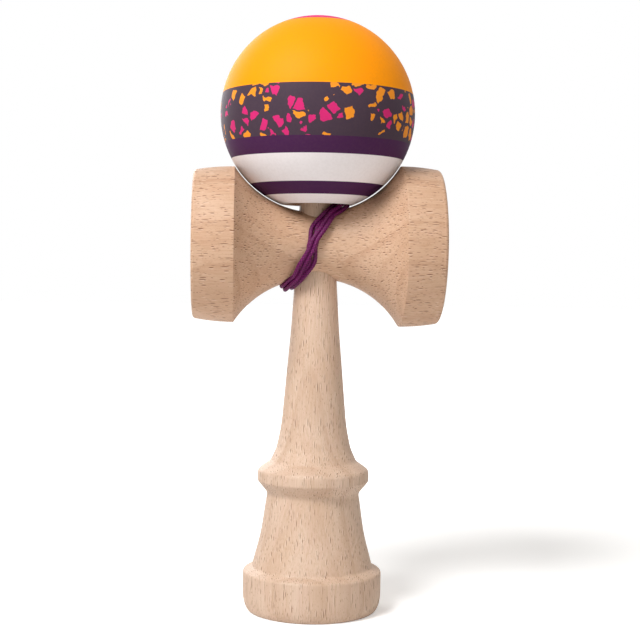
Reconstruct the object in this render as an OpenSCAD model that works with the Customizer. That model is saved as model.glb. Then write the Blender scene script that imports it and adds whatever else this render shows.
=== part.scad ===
// Kendama: a turned handle, a crosspiece with two cups, and a bored ball on a string.
// Millimetres. The origin is on the floor under the handle's axis, +Z runs up the spike,
// +X points to the big cup, and the front is -Y.

/* [Ball] */
// Diameter of the ball
ball_d = 60; // [56:0.5:64]
// Bore of the spike hole
spike_hole_d = 18.5; // [17:0.5:20]
// Diameter of the bevelled mouth of the spike hole
spike_mouth_d = 21.8; // [21:0.1:24]
// Depth of the bore above its mouth, up to the drill's cone
spike_hole_depth = 45; // [43:0.5:47]
// Diameter of the countersink where the string leaves the top
string_sink_d = 8.4; // [7.6:0.2:10]
// Depth of that countersink
string_sink_depth = 3.4; // [3:0.1:4]

/* [Bead] */
// Diameter of the bead that stops the string inside the ball
bead_d = 7; // [6:0.5:8]
// Diameter of the knot under the bead
bead_knot_d = 3.4; // [2.8:0.1:3.6]

/* [Handle] */
// Height of the handle, floor to spike tip
handle_h = 160; // [156:0.5:162]
// Diameter of the base band
base_d = 43; // [40:0.5:46]
// Height of the base band
base_h = 11.4; // [9:0.2:13]
// Rounding of the base's lower edge
base_edge = 2.2; // [1:0.1:2.4]
// Mouth of the base cup
base_cup_d = 35.6; // [32:0.2:36]
// Depth of the base cup
base_cup_depth = 8; // [6:0.5:10]
// Diameter at the top of the base's shoulder
shoulder_d = 37.4; // [36:0.2:38.4]
// Height of the base's shoulder
shoulder_h = 3.5; // [3:0.1:4.5]
// Diameter half way up the bell
bell_d = 32; // [31:0.2:33]
// Height of that place above the shoulder
bell_h = 9.1; // [8:0.1:11]
// Diameter of the neck under the collar
neck_d = 28.4; // [27:0.2:29.4]
// Height of the neck above the floor
neck_z = 36.7; // [35:0.1:39]
// Diameter of the collar
collar_d = 34.5; // [33:0.5:37]
// Height of the slope under the collar
collar_under_h = 3.8; // [3:0.1:4.6]
// Height of the collar's band
collar_h = 3.7; // [3:0.1:5]
// Height of the slope over the collar
collar_over_h = 2.3; // [1.8:0.1:3]
// Diameter of the shaft's foot on the collar
shaft_foot_d = 26.7; // [25:0.1:28]
// Diameter in the shaft's flare
flare_d = 23; // [22:0.1:24]
// Height of that place above the shaft's foot
flare_h = 4.1; // [3.5:0.1:5]
// Diameter where the flare ends
shaft_d = 20.2; // [19:0.1:21]
// Height of that place above the shaft's foot
shaft_h = 11; // [10:0.5:14]
// Diameter of the grip
grip_d = 15; // [14.4:0.1:16]
// Place of the grip on the way from the flare to the crosspiece
grip_place = 0.672; // [0.5:0.002:0.8]
// Diameter where the shaft enters the crosspiece
seat_low_d = 13.14; // [12.6:0.02:13.6]
// Diameter where the spike leaves the crosspiece
seat_high_d = 10.6; // [10.2:0.02:10.8]
// Diameter of the spike just under its round tip
spike_tip_d = 6.8; // [6:0.1:8]
// Height of the spike's tip above the crosspiece's axis
spike_h = 46.6; // [44:0.2:48]

/* [Crosspiece] */
// Diameter of the waist
waist_d = 20.4; // [19.6:0.2:21.4]
// Reach of each cup's mouth from the handle's axis
cup_reach = 38; // [36:0.5:42]
// Diameter of the ridge behind the big cup
big_cup_d = 49.8; // [49:0.2:51]
// Diameter of the ridge behind the small cup
small_cup_d = 48; // [46:0.2:48.6]
// Radius of the cup walls' slight bow along the axis
cup_bow = 65; // [50:5:120]
// Thickness of the round lip
lip_w = 2.4; // [1.6:0.1:3]
// Depth of each cup below its lip
cup_depth = 10.6; // [8:0.2:11]

/* [String] */
// Diameter of the string
string_d = 1.2; // [1:0.05:1.3]
// Diameter of the knot inside the handle
handle_knot_d = 3.6; // [3:0.1:4]

/* [Fits] */
// Gap between the ball and the saddle that it sits in
ball_gap = 0.3; // [0.3:0.1:0.8]
// Radial gap between the handle and the crosspiece's bore
seat_gap = 0.05; // [0.02:0.01:0.1]
// Gap between the string and the holes that it runs in
string_gap = 0.3; // [0.2:0.05:0.4]
// Gap between a seated piece and its seat
rest_gap = 0.3; // [0.2:0.05:0.4]
// Gap between the winding and the wood under it
lay_gap = 0.2; // [0.15:0.05:0.3]

/* [Hidden] */
$fn = 96;

// Finishes
beech = [0.87, 0.71, 0.56];
paint = [0.96, 0.62, 0.12];
bead_wood = [0.80, 0.62, 0.44];
string_dye = [0.42, 0.12, 0.36];

// Cuts run this far past the faces that they open
cut_past = 1;
// Finest step of a turned curve, in degrees
arc_step = 4;

// The crosspiece hangs from the spike's tip, and its saddle is turned concentric with the ball
cross_z = handle_h - spike_h;
ball_r = ball_d / 2;
waist_r = waist_d / 2;
saddle_r = ball_r + ball_gap;
saddle_axis = waist_r + saddle_r;
ball_z = cross_z + saddle_axis;

// Radius of the waist at a place along the crosspiece's axis
function waist(x) = saddle_axis - sqrt(saddle_r * saddle_r - x * x);
// Where the saddle's curve reaches a ridge of the given radius
function ridge_x(ridge_r) = sqrt(saddle_r * saddle_r - pow(saddle_axis - ridge_r, 2));

// The handle tapers evenly through the crosspiece, and this far past its waist
seat_past = 1.8;
seat_half = waist_r + seat_past;
seat_low_z = cross_z - seat_half;
seat_high_z = cross_z + seat_half;
// Radius of the handle in the crosspiece, and under it down to the grip
function seat_r(z) = mix(seat_low_d, seat_high_d, (z - seat_low_z) / (2 * seat_half)) / 2;
function under_seat_r(z) = mix(seat_low_d, grip_d, (seat_low_z - z) / (seat_low_z - grip_z)) / 2;

// Radius of the ball that cuts a cup of a given mouth and depth
function bowl_r(mouth_r, depth) = (mouth_r * mouth_r + depth * depth) / (2 * depth);

// The spike hole, measured from the ball's centre
mouth_r = spike_mouth_d / 2;
hole_r = spike_hole_d / 2;
mouth_z = -sqrt(ball_r * ball_r - mouth_r * mouth_r);
hole_top = mouth_z + spike_hole_depth;
bevel_angle = 60;
bevel_h = (mouth_r - hole_r) * tan(bevel_angle);
drill_half_angle = 59;
string_hole_d = string_d + 2 * string_gap;
roof_h = (hole_r - string_hole_d / 2) / tan(drill_half_angle);
sink_z = sqrt(ball_r * ball_r - pow(string_sink_d / 2, 2));

// The bead hangs under the drill's cone, and its knot hangs under the rim of its bore
knot_flat = 0.25;
bead_seat = bead_d / 2 + rest_gap;
bead_z = ball_z + hole_top + hole_r / tan(drill_half_angle) - bead_seat / sin(drill_half_angle);
bead_rim = sqrt(pow(bead_d / 2, 2) - pow(string_hole_d / 2, 2));
bead_knot_z = bead_z - bead_rim - rest_gap - bead_knot_d / 2 + knot_flat;

// The knot inside the handle lies in a pocket in front of the axis
pocket_floor = 1.6;
handle_knot_y = -pocket_floor - rest_gap - handle_knot_d / 2;
lead_y = handle_knot_y + handle_knot_d / 2 - knot_flat;

// Vectors and curves
function unit(v) = v / norm(v);
function ease(t) = t * t * (3 - 2 * t);
function mix(a, b, t) = a + (b - a) * t;
function turned(v, angle) =
    [v.x * cos(angle) - v.y * sin(angle), v.x * sin(angle) + v.y * cos(angle)];

// Room for a rounding beside a corner: half the side if its other end is rounded too
function side_room(other, here) = norm([other[0], other[1]] - here) / (other[2] > 0 ? 2 : 1);
// A corner of an outline, rounded: corners are [radius, height, rounding]
function corner_arc(before, corner, after) =
    let (
        here = [corner[0], corner[1]],
        back = unit([before[0], before[1]] - here),
        ahead = unit([after[0], after[1]] - here),
        opening = acos(back * ahead),
        room = min(side_room(before, here), side_room(after, here)),
        r = min(corner[2], room * tan(opening / 2)),
        centre = here + unit(back + ahead) * r / sin(opening / 2),
        first = here + back * r / tan(opening / 2) - centre,
        sweep = (180 - opening) * sign(cross(back, -ahead)),
        steps = max(2, ceil(abs(sweep) / arc_step))
    )
    [for (i = [0:steps]) centre + turned(first, sweep * i / steps)];

function rounded(corners) = [
    for (i = [0:len(corners) - 1])
        let (corner = corners[i])
        each corner[2] == 0
            ? [[corner[0], corner[1]]]
            : corner_arc(corners[i - 1], corner, corners[i + 1])
];

// Roundings of the handle's corners, from the base up
base_top_round = 0.9;
shoulder_round = 2;
bell_round = 60;
neck_round = 2;
collar_low_round = 0.7;
collar_high_round = 1.1;
foot_round = 1.2;
flare_round = 12;
shaft_round = 45;
grip_round = 200;
tip_round = 2.6;

// The handle's outline, from the floor up
shoulder_z = base_h + shoulder_h;
collar_z = neck_z + collar_under_h;
collar_top = collar_z + collar_h;
shaft_z = collar_top + collar_over_h;
flare_top = shaft_z + shaft_h;
grip_z = mix(flare_top, seat_low_z, grip_place);
handle_outline = rounded([
    [0, 0, 0],
    [base_d / 2, 0, base_edge],
    [base_d / 2, base_h, base_top_round],
    [shoulder_d / 2, shoulder_z, shoulder_round],
    [bell_d / 2, shoulder_z + bell_h, bell_round],
    [neck_d / 2, neck_z, neck_round],
    [collar_d / 2, collar_z, collar_low_round],
    [collar_d / 2, collar_top, collar_high_round],
    [shaft_foot_d / 2, shaft_z, foot_round],
    [flare_d / 2, shaft_z + flare_h, flare_round],
    [shaft_d / 2, flare_top, shaft_round],
    [grip_d / 2, grip_z, grip_round],
    [seat_low_d / 2, seat_low_z, 0],
    [seat_high_d / 2, seat_high_z, 0],
    [spike_tip_d / 2, handle_h, tip_round],
    [0, handle_h, 0]
]);

// One cup's outline to its lip: radius, then place along the axis. It starts one step inside the
// saddle, which cuts it at the ridge.
lip_r = lip_w / 2;
// The bowl takes this much off the lip's inner edge
lip_trim = 0.15;
band_steps = 8;
lip_steps = 18;
function band_r(ridge_r, along) = ridge_r - cup_bow + sqrt(cup_bow * cup_bow - along * along);
function lip_out_r(ridge_r) = band_r(ridge_r, cup_reach - lip_r - ridge_x(ridge_r));
function cup_mouth_r(ridge_r) = lip_out_r(ridge_r) - lip_w;
function cup_outline(ridge_r) =
    let (
        start = ridge_x(ridge_r),
        run = cup_reach - lip_r - start,
        lip = [lip_out_r(ridge_r) - lip_r, cup_reach - lip_r]
    )
    concat(
        [for (i = [-1:band_steps - 1])
            [band_r(ridge_r, run * i / band_steps), start + run * i / band_steps]],
        [for (i = [0:lip_steps]) lip + turned([lip_r, 0], 180 * i / lip_steps)]
    );
function flipped(outline) = [for (p = outline) [p.x, -p.y]];
function backwards(outline) = [for (i = [len(outline) - 1:-1:0]) outline[i]];

// The string's winding: four turns round the waist, passing right of the spike on top and left
// of the shaft below. A turn runs from the top, down the front, under and up the back.
turns = 4;
turn_rings = 24;
top_slot = [3, 0, 1, 2];
bottom_slot = [1, 2, 3, 0];
// On the front the last and first turns cross over the other two
crosses_over = [1, 0, 0, 1];
pair_side = [0.5, -0.5, 0.5, -0.5];
// At the top and the bottom the slots lie in two layers
top_layer = [1, 0, 1, 0];
bottom_layer = [0, 1, 0, 1];
layer_gap = 0.45;
layer_h = string_d + layer_gap;
// Steps between the slots at the top, at the bottom, and on the front where they lie side by side
bottom_slot_gap = 0.4;
front_slot_gap = 1.1;
top_step = string_d;
bottom_step = string_d + bottom_slot_gap;
front_step = string_d + front_slot_gap;
// On the back the slots lie this much further apart half way up
back_spread = 0.6;
// Where the pairs cross, the lower pair opens and the upper pair lies over its middle
lower_pair_gap = 2.4;
upper_pair_gap = 0.7;
crossing_gap = 0.6;
pair_step = [string_d + lower_pair_gap, string_d + upper_pair_gap];
crossing_h = string_d + crossing_gap;
// Angles from the top or the bottom over which the slots come side by side, the upper pair lifts
// and the pairs cross
side_by_side = [32, 56];
lifting = [24, 52];
crossing = [58, 90];
mid_slot = (turns - 1) / 2;
// Middle of the bundle at the top beside the spike, at the bottom beside the shaft, and between
spike_side_gap = 0.2;
shaft_side_gap = 0.25;
top_r = seat_r(cross_z + waist_r + string_d);
bottom_r = under_seat_r(cross_z - waist_r - 2 * layer_h);
top_x = top_r + spike_side_gap + string_d / 2 + mid_slot * top_step;
bottom_x = -(bottom_r + shaft_side_gap + string_d / 2 + mid_slot * bottom_step);
front_x = -1.65;
back_x = -5;

// Slant of the bundle at an angle from the top: steep at the ends and easy in the middle
even_slant = 0.4;
front_bend = 3;
back_bend = 1;
function slant(angle) =
    cos(angle) * mix(pow(abs(cos(angle)), angle > 180 ? back_bend : front_bend), 1, even_slant);
function bundle_x(angle) =
    let (middle = angle > 180 ? back_x : front_x, s = slant(angle))
    mix(middle, s > 0 ? top_x : bottom_x, abs(s));
function end_step(angle) = mix(bottom_step, top_step, (1 + cos(angle)) / 2);
// How far an angle has come through a span of angles
function through(angle, span) =
    ease(max(0, min(1, (angle - span[0]) / (span[1] - span[0]))));
// A place on the waist, by its angle from the top, its place along the axis and its layer height
function on_waist(angle, x, height) =
    let (r = waist(x) + lay_gap + string_d / 2 + height)
    [x, -r * sin(angle), cross_z + r * cos(angle)];

function front_point(turn, angle) =
    let (
        upper = angle < 90,
        slot = upper ? top_slot[turn] : bottom_slot[turn],
        layer = upper ? top_layer[slot] : bottom_layer[slot],
        over = crosses_over[turn],
        from_end = min(angle, 180 - angle),
        flat = through(from_end, side_by_side),
        step = mix(end_step(angle), front_step, flat),
        across = mix((slot - mid_slot) * step, pair_side[turn] * pair_step[over],
            through(from_end, crossing)),
        height = layer * layer_h * (1 - flat) + over * crossing_h * through(from_end, lifting)
    )
    on_waist(angle, bundle_x(angle) + across, height);

function back_point(turn, angle) =
    let (
        low = bottom_slot[turn],
        high = turn + 1 < turns ? top_slot[turn + 1] : low,
        slot = mix(low, high, ease((angle - 180) / 180)),
        step = end_step(angle) + back_spread * abs(sin(angle))
    )
    on_waist(angle, bundle_x(angle) + (slot - mid_slot) * step, bottom_layer[low] * layer_h);

function turn_point(turn, angle) =
    angle <= 180 ? front_point(turn, angle) : back_point(turn, angle);

// The lead runs straight out of the crosspiece, bends up and joins the first turn's slot
lead_bend_r = 3;
lead_bend_step = 16;
lead_bend_end = 64;
lead_end_angle = 355;
lead_straight = 0.5;
lead_out_y = waist_r + lead_straight;
lead_top_angle = 270 + atan(lead_bend_r / (lead_out_y + lead_bend_r));
lead_proud = lead_out_y + lead_bend_r - waist_r - lay_gap - string_d / 2;
function lead_point(angle) =
    let (t = (angle - lead_top_angle) / (360 - lead_top_angle))
    on_waist(angle, (top_x + mid_slot * top_step) * sin(90 * t), mix(lead_proud, 0, ease(t)));
function lead_route(angle_step) = concat(
    [[0, lead_y, cross_z], [0, lead_out_y - lead_bend_r, cross_z]],
    [for (a = [0:lead_bend_step:lead_bend_end])
        [0, lead_out_y + lead_bend_r * sin(a), cross_z + lead_bend_r * (1 - cos(a))]],
    [for (a = [lead_top_angle + angle_step / 2:angle_step:lead_end_angle]) lead_point(a)]
);

// The string's route from the winding up the ball's back and into its top
drop_route = [
    [-9.8, 11.4, 107.8], [-8.9, 12.7, 110.4], [-8, 14, 113], [-7.1, 15.3, 115.6],
    [-6.2, 16.6, 118.2], [-5.3, 17.9, 120.8], [-4.4, 19.2, 123.4], [-3.5, 20.5, 126],
    [-2.6, 21.8, 128.6], [-1.7, 23.1, 131.2], [-0.8, 24.4, 133.8], [0, 25.7, 136.4],
    [0.6, 27.2, 139], [1, 28.7, 142], [1.2, 29.8, 145.2], [1.3, 30.6, 148.5],
    [1.3, 31, 152], [1.2, 31.1, 155.5], [1, 30.7, 159], [0.8, 30, 162.4],
    [0.6, 28.9, 165.7], [0.5, 27.3, 169], [0.4, 25.5, 172], [0.3, 23.1, 174.9],
    [0.2, 20.4, 177.6], [0.1, 17.5, 179.8], [0, 14.3, 181.7], [0, 11, 183.1],
    [0, 7.5, 184.2], [0, 4.2, 184.8], [0, 2.4, 184.5], [0, 1.1, 183.7],
    [0, 0.3, 182.4], [0, 0, 181], [0, 0, 179.8]
];
drop_top = last_of(drop_route);
drop_way = unit(drop_route[1] - drop_route[0]);
leave_angle = 232;

function winding_route(rings) =
    let (step = 360 / rings)
    concat(
        lead_route(step),
        [for (turn = [0:turns - 1], i = [0:rings - 1])
            if (turn < turns - 1 || i * step < leave_angle) turn_point(turn, i * step)],
        [drop_route[0] - drop_way * string_d, drop_route[0]]
    );

// Length along a route up to each of its points
function lengths(route) = [
    for (i = 0, s = 0; i < len(route);
        i = i + 1, s = s + (i < len(route) ? norm(route[i] - route[i - 1]) : 0)) s
];
function last_of(list) = list[len(list) - 1];
// Least gap of the winding to itself, between places more than a few diameters apart along it
gap_apart = 6 * string_d;
function least_gap(route) =
    let (s = lengths(route))
    min([for (i = [0:len(route) - 2], j = [i + 1:len(route) - 1])
        if (s[j] - s[i] > gap_apart) norm(route[i] - route[j])]) - string_d;
winding_fine = winding_route(3 * turn_rings);
echo(winding_length = last_of(lengths(winding_fine)));
echo(winding_least_gap = least_gap(winding_fine));
echo(drop_length = last_of(lengths(drop_route)));

// A tube swept along a route, closed at both ends
function way(route, i) = unit(route[min(i + 1, len(route) - 1)] - route[max(i - 1, 0)]);
function squared(side, along) = unit(side - (side * along) * along);
// A direction that no route starts along
start_side = [1, 0.3, 0.2];
function sides_of(route) = [
    for (i = 0, side = squared(start_side, way(route, 0)); i < len(route);
        i = i + 1, side = squared(side, way(route, min(i, len(route) - 1)))) side
];

module tube(route, d, sides) {
    side = sides_of(route);
    last = len(route) - 1;
    points = [
        for (i = [0:last])
            let (across = cross(way(route, i), side[i]))
            for (k = [0:sides - 1])
                route[i] + d / 2 * (cos(360 * k / sides) * side[i] + sin(360 * k / sides) * across)
    ];
    walls = [
        for (i = [0:last - 1], k = [0:sides - 1])
            let (
                a = i * sides + k,
                b = i * sides + (k + 1) % sides
            )
            each [[a, a + sides, b], [b, a + sides, b + sides]]
    ];
    ends = [
        for (k = [1:sides - 2])
            each [[0, k, k + 1], [last * sides, last * sides + k + 1, last * sides + k]]
    ];
    polyhedron(points, concat(walls, ends));
}

// A hole through the crosspiece's back, square to the handle, for the string
module string_way(from_y, to_y) {
    translate([0, from_y, cross_z])
        rotate([-90, 0, 0])
            cylinder(d = string_hole_d, h = to_y - from_y);
}

module ken_handle() {
    base_bowl = bowl_r(base_cup_d / 2, base_cup_depth);
    color(beech)
        difference() {
            rotate_extrude()
                polygon(handle_outline);
            translate([0, 0, base_cup_depth - base_bowl])
                sphere(r = base_bowl);
            string_way(-pocket_floor - cut_past, seat_low_d);
            translate([0, -pocket_floor, cross_z])
                rotate([90, 0, 0])
                    cylinder(d = handle_knot_d + 2 * rest_gap, h = seat_low_d);
        }
}

module cup_bowl(ridge_r) {
    r = bowl_r(cup_mouth_r(ridge_r) + lip_trim, cup_depth);
    translate([cup_reach - lip_r - cup_depth + r, 0, cross_z])
        sphere(r = r);
}

module sara_crosspiece() {
    big_r = big_cup_d / 2;
    small_r = small_cup_d / 2;
    bore_low = seat_low_z - cut_past;
    bore_high = seat_high_z + cut_past;
    color(beech)
        difference() {
            translate([0, 0, cross_z])
                rotate([0, 90, 0])
                    rotate_extrude()
                        difference() {
                            polygon(concat(
                                [[0, lip_r - cup_reach]],
                                backwards(flipped(cup_outline(small_r))),
                                cup_outline(big_r),
                                [[0, cup_reach - lip_r]]
                            ));
                            translate([saddle_axis, 0])
                                circle(r = saddle_r);
                        }
            cup_bowl(big_r);
            mirror([1, 0, 0])
                cup_bowl(small_r);
            translate([0, 0, bore_low])
                cylinder(
                    h = bore_high - bore_low,
                    r1 = seat_r(bore_low) + seat_gap,
                    r2 = seat_r(bore_high) + seat_gap
                );
            string_way(0, waist_r + cut_past);
        }
}

module tama_ball() {
    color(paint)
        translate([0, 0, ball_z])
            difference() {
                sphere(r = ball_r);
                translate([0, 0, -ball_r - cut_past])
                    cylinder(r = hole_r, h = ball_r + cut_past + hole_top);
                translate([0, 0, mouth_z - cut_past])
                    cylinder(
                        h = bevel_h + cut_past,
                        r1 = mouth_r + cut_past / tan(bevel_angle),
                        r2 = hole_r
                    );
                translate([0, 0, hole_top])
                    cylinder(h = roof_h, r1 = hole_r, r2 = string_hole_d / 2);
                cylinder(d = string_hole_d, h = ball_r + cut_past);
                translate([0, 0, sink_z - string_sink_depth])
                    cylinder(
                        h = string_sink_depth + cut_past,
                        r1 = string_hole_d / 2,
                        r2 = mix(string_hole_d, string_sink_d, 1 + cut_past / string_sink_depth) / 2
                    );
            }
}

module bead() {
    color(bead_wood)
        translate([0, 0, bead_z])
            difference() {
                sphere(d = bead_d);
                cylinder(d = string_hole_d, h = 2 * bead_d, center = true);
            }
}

// A knot: a round lump with a flat where the string enters it, facing +Z
module knot(d) {
    color(string_dye)
        intersection() {
            sphere(d = d);
            translate([0, 0, -knot_flat])
                cube(d, center = true);
        }
}

module bead_knot() {
    translate([0, 0, bead_knot_z])
        knot(bead_knot_d);
}

module handle_knot() {
    translate([0, handle_knot_y, cross_z])
        rotate([-90, 0, 0])
            knot(handle_knot_d);
}

module string_winding() {
    color(string_dye)
        tube(winding_route(turn_rings), string_d, 6);
}

module string_drop() {
    color(string_dye)
        tube(drop_route, string_d, 8);
}

module string_end() {
    foot = bead_knot_z + bead_knot_d / 2 - knot_flat;
    color(string_dye)
        translate([0, 0, foot])
            cylinder(d = string_d, h = drop_top.z - foot);
}

ken_handle();
sara_crosspiece();
tama_ball();
bead();
bead_knot();
handle_knot();
string_winding();
string_drop();
string_end();
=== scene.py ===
import math

import bmesh
import bpy
from mathutils import Matrix, Vector


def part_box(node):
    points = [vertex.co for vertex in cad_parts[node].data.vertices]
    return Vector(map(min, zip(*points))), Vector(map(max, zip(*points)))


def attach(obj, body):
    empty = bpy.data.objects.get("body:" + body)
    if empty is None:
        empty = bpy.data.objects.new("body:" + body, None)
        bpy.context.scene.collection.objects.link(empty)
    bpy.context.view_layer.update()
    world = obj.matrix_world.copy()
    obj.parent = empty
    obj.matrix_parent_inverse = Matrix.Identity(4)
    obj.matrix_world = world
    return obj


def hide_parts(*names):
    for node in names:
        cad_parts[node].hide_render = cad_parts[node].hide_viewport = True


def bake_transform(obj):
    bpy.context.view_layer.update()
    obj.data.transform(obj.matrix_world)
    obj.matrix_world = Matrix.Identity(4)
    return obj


# A kendama in bare beech with a banded ball and a purple string, in metres.
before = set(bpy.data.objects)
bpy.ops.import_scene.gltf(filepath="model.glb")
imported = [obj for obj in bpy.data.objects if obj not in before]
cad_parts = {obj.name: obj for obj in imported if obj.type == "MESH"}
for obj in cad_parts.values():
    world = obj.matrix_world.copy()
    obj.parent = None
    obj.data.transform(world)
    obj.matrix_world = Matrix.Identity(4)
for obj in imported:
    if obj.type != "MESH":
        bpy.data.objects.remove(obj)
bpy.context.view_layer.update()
scene = bpy.context.scene
scene.view_settings.view_transform = "Standard"

MM = 0.001
QUARTER = math.pi / 2

# Sizes that the parts in model.glb give
cross_low, cross_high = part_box("sara_crosspiece")
ball_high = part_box("tama_ball")[1]
handle_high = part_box("ken_handle")[1]
CROSS_Z = (cross_low.z + cross_high.z) / 2
CUP_REACH = cross_high.x
BALL_R = ball_high.x
HANDLE_H = handle_high.z
BASE_R = handle_high.x

# Ball and saddle
BALL_GAP = 0.3 * MM
WAIST_R = 10.2 * MM
SADDLE_R = BALL_R + BALL_GAP
SADDLE_AXIS = WAIST_R + SADDLE_R
BALL_Z = CROSS_Z + SADDLE_AXIS
HOLE_R = 9.25 * MM
MOUTH_R = 10.9 * MM
HOLE_DEPTH = 45 * MM
BEVEL_ANGLE = math.radians(60)
DRILL_ANGLE = math.radians(59)
SINK_R = 4.2 * MM
SINK_DEPTH = 3.4 * MM
STRING_HOLE_R = 0.9 * MM
SINK_ROUND = 0.35 * MM
MOUTH_ROUND = 0.3 * MM
BEAD_R = 3.5 * MM
BEAD_ROUND = 0.12 * MM
PAINT_DEPTH = 0.5 * MM

# Crosspiece
BIG_RIDGE_R = 24.9 * MM
SMALL_RIDGE_R = 24 * MM
CUP_BOW = 65 * MM
LIP_R = 1.2 * MM
LIP_TRIM = 0.15 * MM
CUP_DEPTH = 10.6 * MM
RIDGE_ROUND = 0.35 * MM
RIDGE_LEAD = 1.5 * MM
EDGE_START = math.radians(165)

# Handle
SEAT_HALF = WAIST_R + 1.8 * MM
SEAT_LOW_R = 6.57 * MM
SEAT_HIGH_R = 5.3 * MM
SEAT_GAP = 0.05 * MM
GRIP_R = 7.5 * MM
GRIP_Z = 87 * MM
GRIP_BEND_R = 200 * MM
TIP_R = 3.4 * MM
TIP_ROUND = 2.6 * MM
BASE_CUP_R = 17.8 * MM
BASE_CUP_DEPTH = 8 * MM
RIM_ROUND = 0.3 * MM
FOOT_IN = 2.2 * MM
FOOT_UP = 6 * MM
FOOT_POINTS = 16
SHOULDER_Z = 12.3 * MM
SHOULDER_ROUND = 1 * MM
KNOT_POCKET_R = 2.1 * MM
KNOT_POCKET_Y = -1.6 * MM

# The handle's corners between its shoulder and its grip, in millimetres: radius, height and rounding
BELL_AND_COLLAR = (
    (18.75, 13.75, 1.2),  # bell's foot
    (16, 24, 60),  # bell's hollow
    (14.2, 36.7, 2),  # bell's top
    (17.25, 40.4, 1.2),  # collar's lower edge
    (17.25, 43.7, 1.7),  # collar's upper edge
    (13.35, 46.5, 2.2),  # neck
    (11.5, 50.6, 12),  # flare over the neck
    (10.1, 57.5, 45),  # foot of the grip
)

# String
STRING_D = 1.3 * MM
LAY_GAP = 0.05 * MM
RELIEF = 0.14 * MM
PICK = 0.95 * MM
YARNS = 4.0

# Meshes: points round a piece, points along a curve, longest steps, and the gap at which points merge
WOOD_FACETS = 192
BALL_FACETS = 224
BEAD_FACETS = 64
BORE_FACETS = 64
STRING_SIDES = 20
BOWL_STEPS = 40
BAND_STEPS = 8
SADDLE_STEPS = 60
HANDLE_STEP = 1.5 * MM
CROSS_STEP = 1.2 * MM
BALL_STEP = 1.6 * MM
BEAD_STEP = 0.6 * MM
STRING_STEP = 0.12 * MM
MERGE_GAP = 0.001 * MM

# Picture, in pixels, and the camera's sensor, in millimetres
PICTURE_W = 640
FOCAL_PX = 1350
SENSOR_W = 36


def mix(a, b, t):
    return a + (b - a) * t


def ease(t):
    """A share from 0 to 1, made slow at both ends."""
    return t * t * (3 - 2 * t)


def waist(x):
    """Radius of the crosspiece's saddle at a place along its axis."""
    return SADDLE_AXIS - math.sqrt(SADDLE_R**2 - x**2)


def seat_r(z):
    """Radius of the handle's taper inside the crosspiece."""
    return mix(SEAT_LOW_R, SEAT_HIGH_R, (z - CROSS_Z + SEAT_HALF) / (2 * SEAT_HALF))


def under_seat_r(z):
    """Radius of the handle between the grip and the crosspiece."""
    seat_low_z = CROSS_Z - SEAT_HALF
    return mix(SEAT_LOW_R, GRIP_R, (seat_low_z - z) / (seat_low_z - GRIP_Z))


# Camera

CAMERA_PLACE = Vector((-22.7, -418.7, 104.6)) * MM
CAMERA_HEADING = math.radians(3.31)
CAMERA_PITCH = math.radians(-1.95)
CAMERA_ROLL = math.radians(0.77)


def make_camera():
    """A camera in front of the object, about as high as its crosspiece and a little to the left."""
    ahead = Vector((
        math.sin(CAMERA_HEADING) * math.cos(CAMERA_PITCH),
        math.cos(CAMERA_HEADING) * math.cos(CAMERA_PITCH),
        math.sin(CAMERA_PITCH),
    ))
    level = Vector((math.cos(CAMERA_HEADING), -math.sin(CAMERA_HEADING), 0))
    upright = level.cross(ahead)
    right = level * math.cos(CAMERA_ROLL) + upright * math.sin(CAMERA_ROLL)
    up = right.cross(ahead)
    camera = bpy.data.objects.new("camera", bpy.data.cameras.new("camera"))
    scene.collection.objects.link(camera)
    camera.data.sensor_width = SENSOR_W
    camera.data.lens = SENSOR_W * FOCAL_PX / PICTURE_W
    turn = Matrix((right, up, -ahead)).transposed()
    camera.matrix_world = Matrix.Translation(CAMERA_PLACE) @ turn.to_4x4()
    scene.camera = camera


make_camera()


# The string's route: four turns round the waist, then up the ball's back and into its top

TURNS = 4
TURN_POINTS = 96
TOP_SLOT = (3, 0, 1, 2)
BOTTOM_SLOT = (1, 2, 3, 0)
TOP_LAYER = (1, 0, 1, 0)
BOTTOM_LAYER = (0, 1, 0, 1)
LAYER_H = STRING_D + 0.05 * MM
TOP_STEP = STRING_D - 0.15 * MM
BOTTOM_STEP = STRING_D - 0.3 * MM
FRONT_STEP = STRING_D + 0.26 * MM
BACK_SPREAD = 0.3 * MM
MID_SLOT = (TURNS - 1) / 2

# On the front the last and first turns cross over the other two
CROSSES_OVER = (1, 0, 0, 1)
PAIR_SIDE = (0.5, -0.5, 0.5, -0.5)
PAIR_STEP = (STRING_D + 0.8 * MM, STRING_D + 0.1 * MM)
CROSSING_H = STRING_D + 0.06 * MM
SIDE_BY_SIDE = (32, 56)
LIFTING = (24, 52)
CROSSING = (58, 90)

# Middle of the bundle at the top beside the spike, at the bottom beside the shaft, and between
SPIKE_SIDE_GAP = 0.1 * MM
SHAFT_SIDE_GAP = 0.15 * MM
TOP_X = seat_r(CROSS_Z + WAIST_R + STRING_D) + SPIKE_SIDE_GAP + STRING_D / 2 + MID_SLOT * TOP_STEP
BOTTOM_X = -(
    under_seat_r(CROSS_Z - WAIST_R - 2 * LAYER_H) + SHAFT_SIDE_GAP + STRING_D / 2 + MID_SLOT * BOTTOM_STEP
)
FRONT_X = -1.65 * MM
BACK_X = -5 * MM
EVEN_SLANT = 0.4
FRONT_BEND = 3
BACK_BEND = 1
LEAVE_ANGLE = 222

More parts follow.
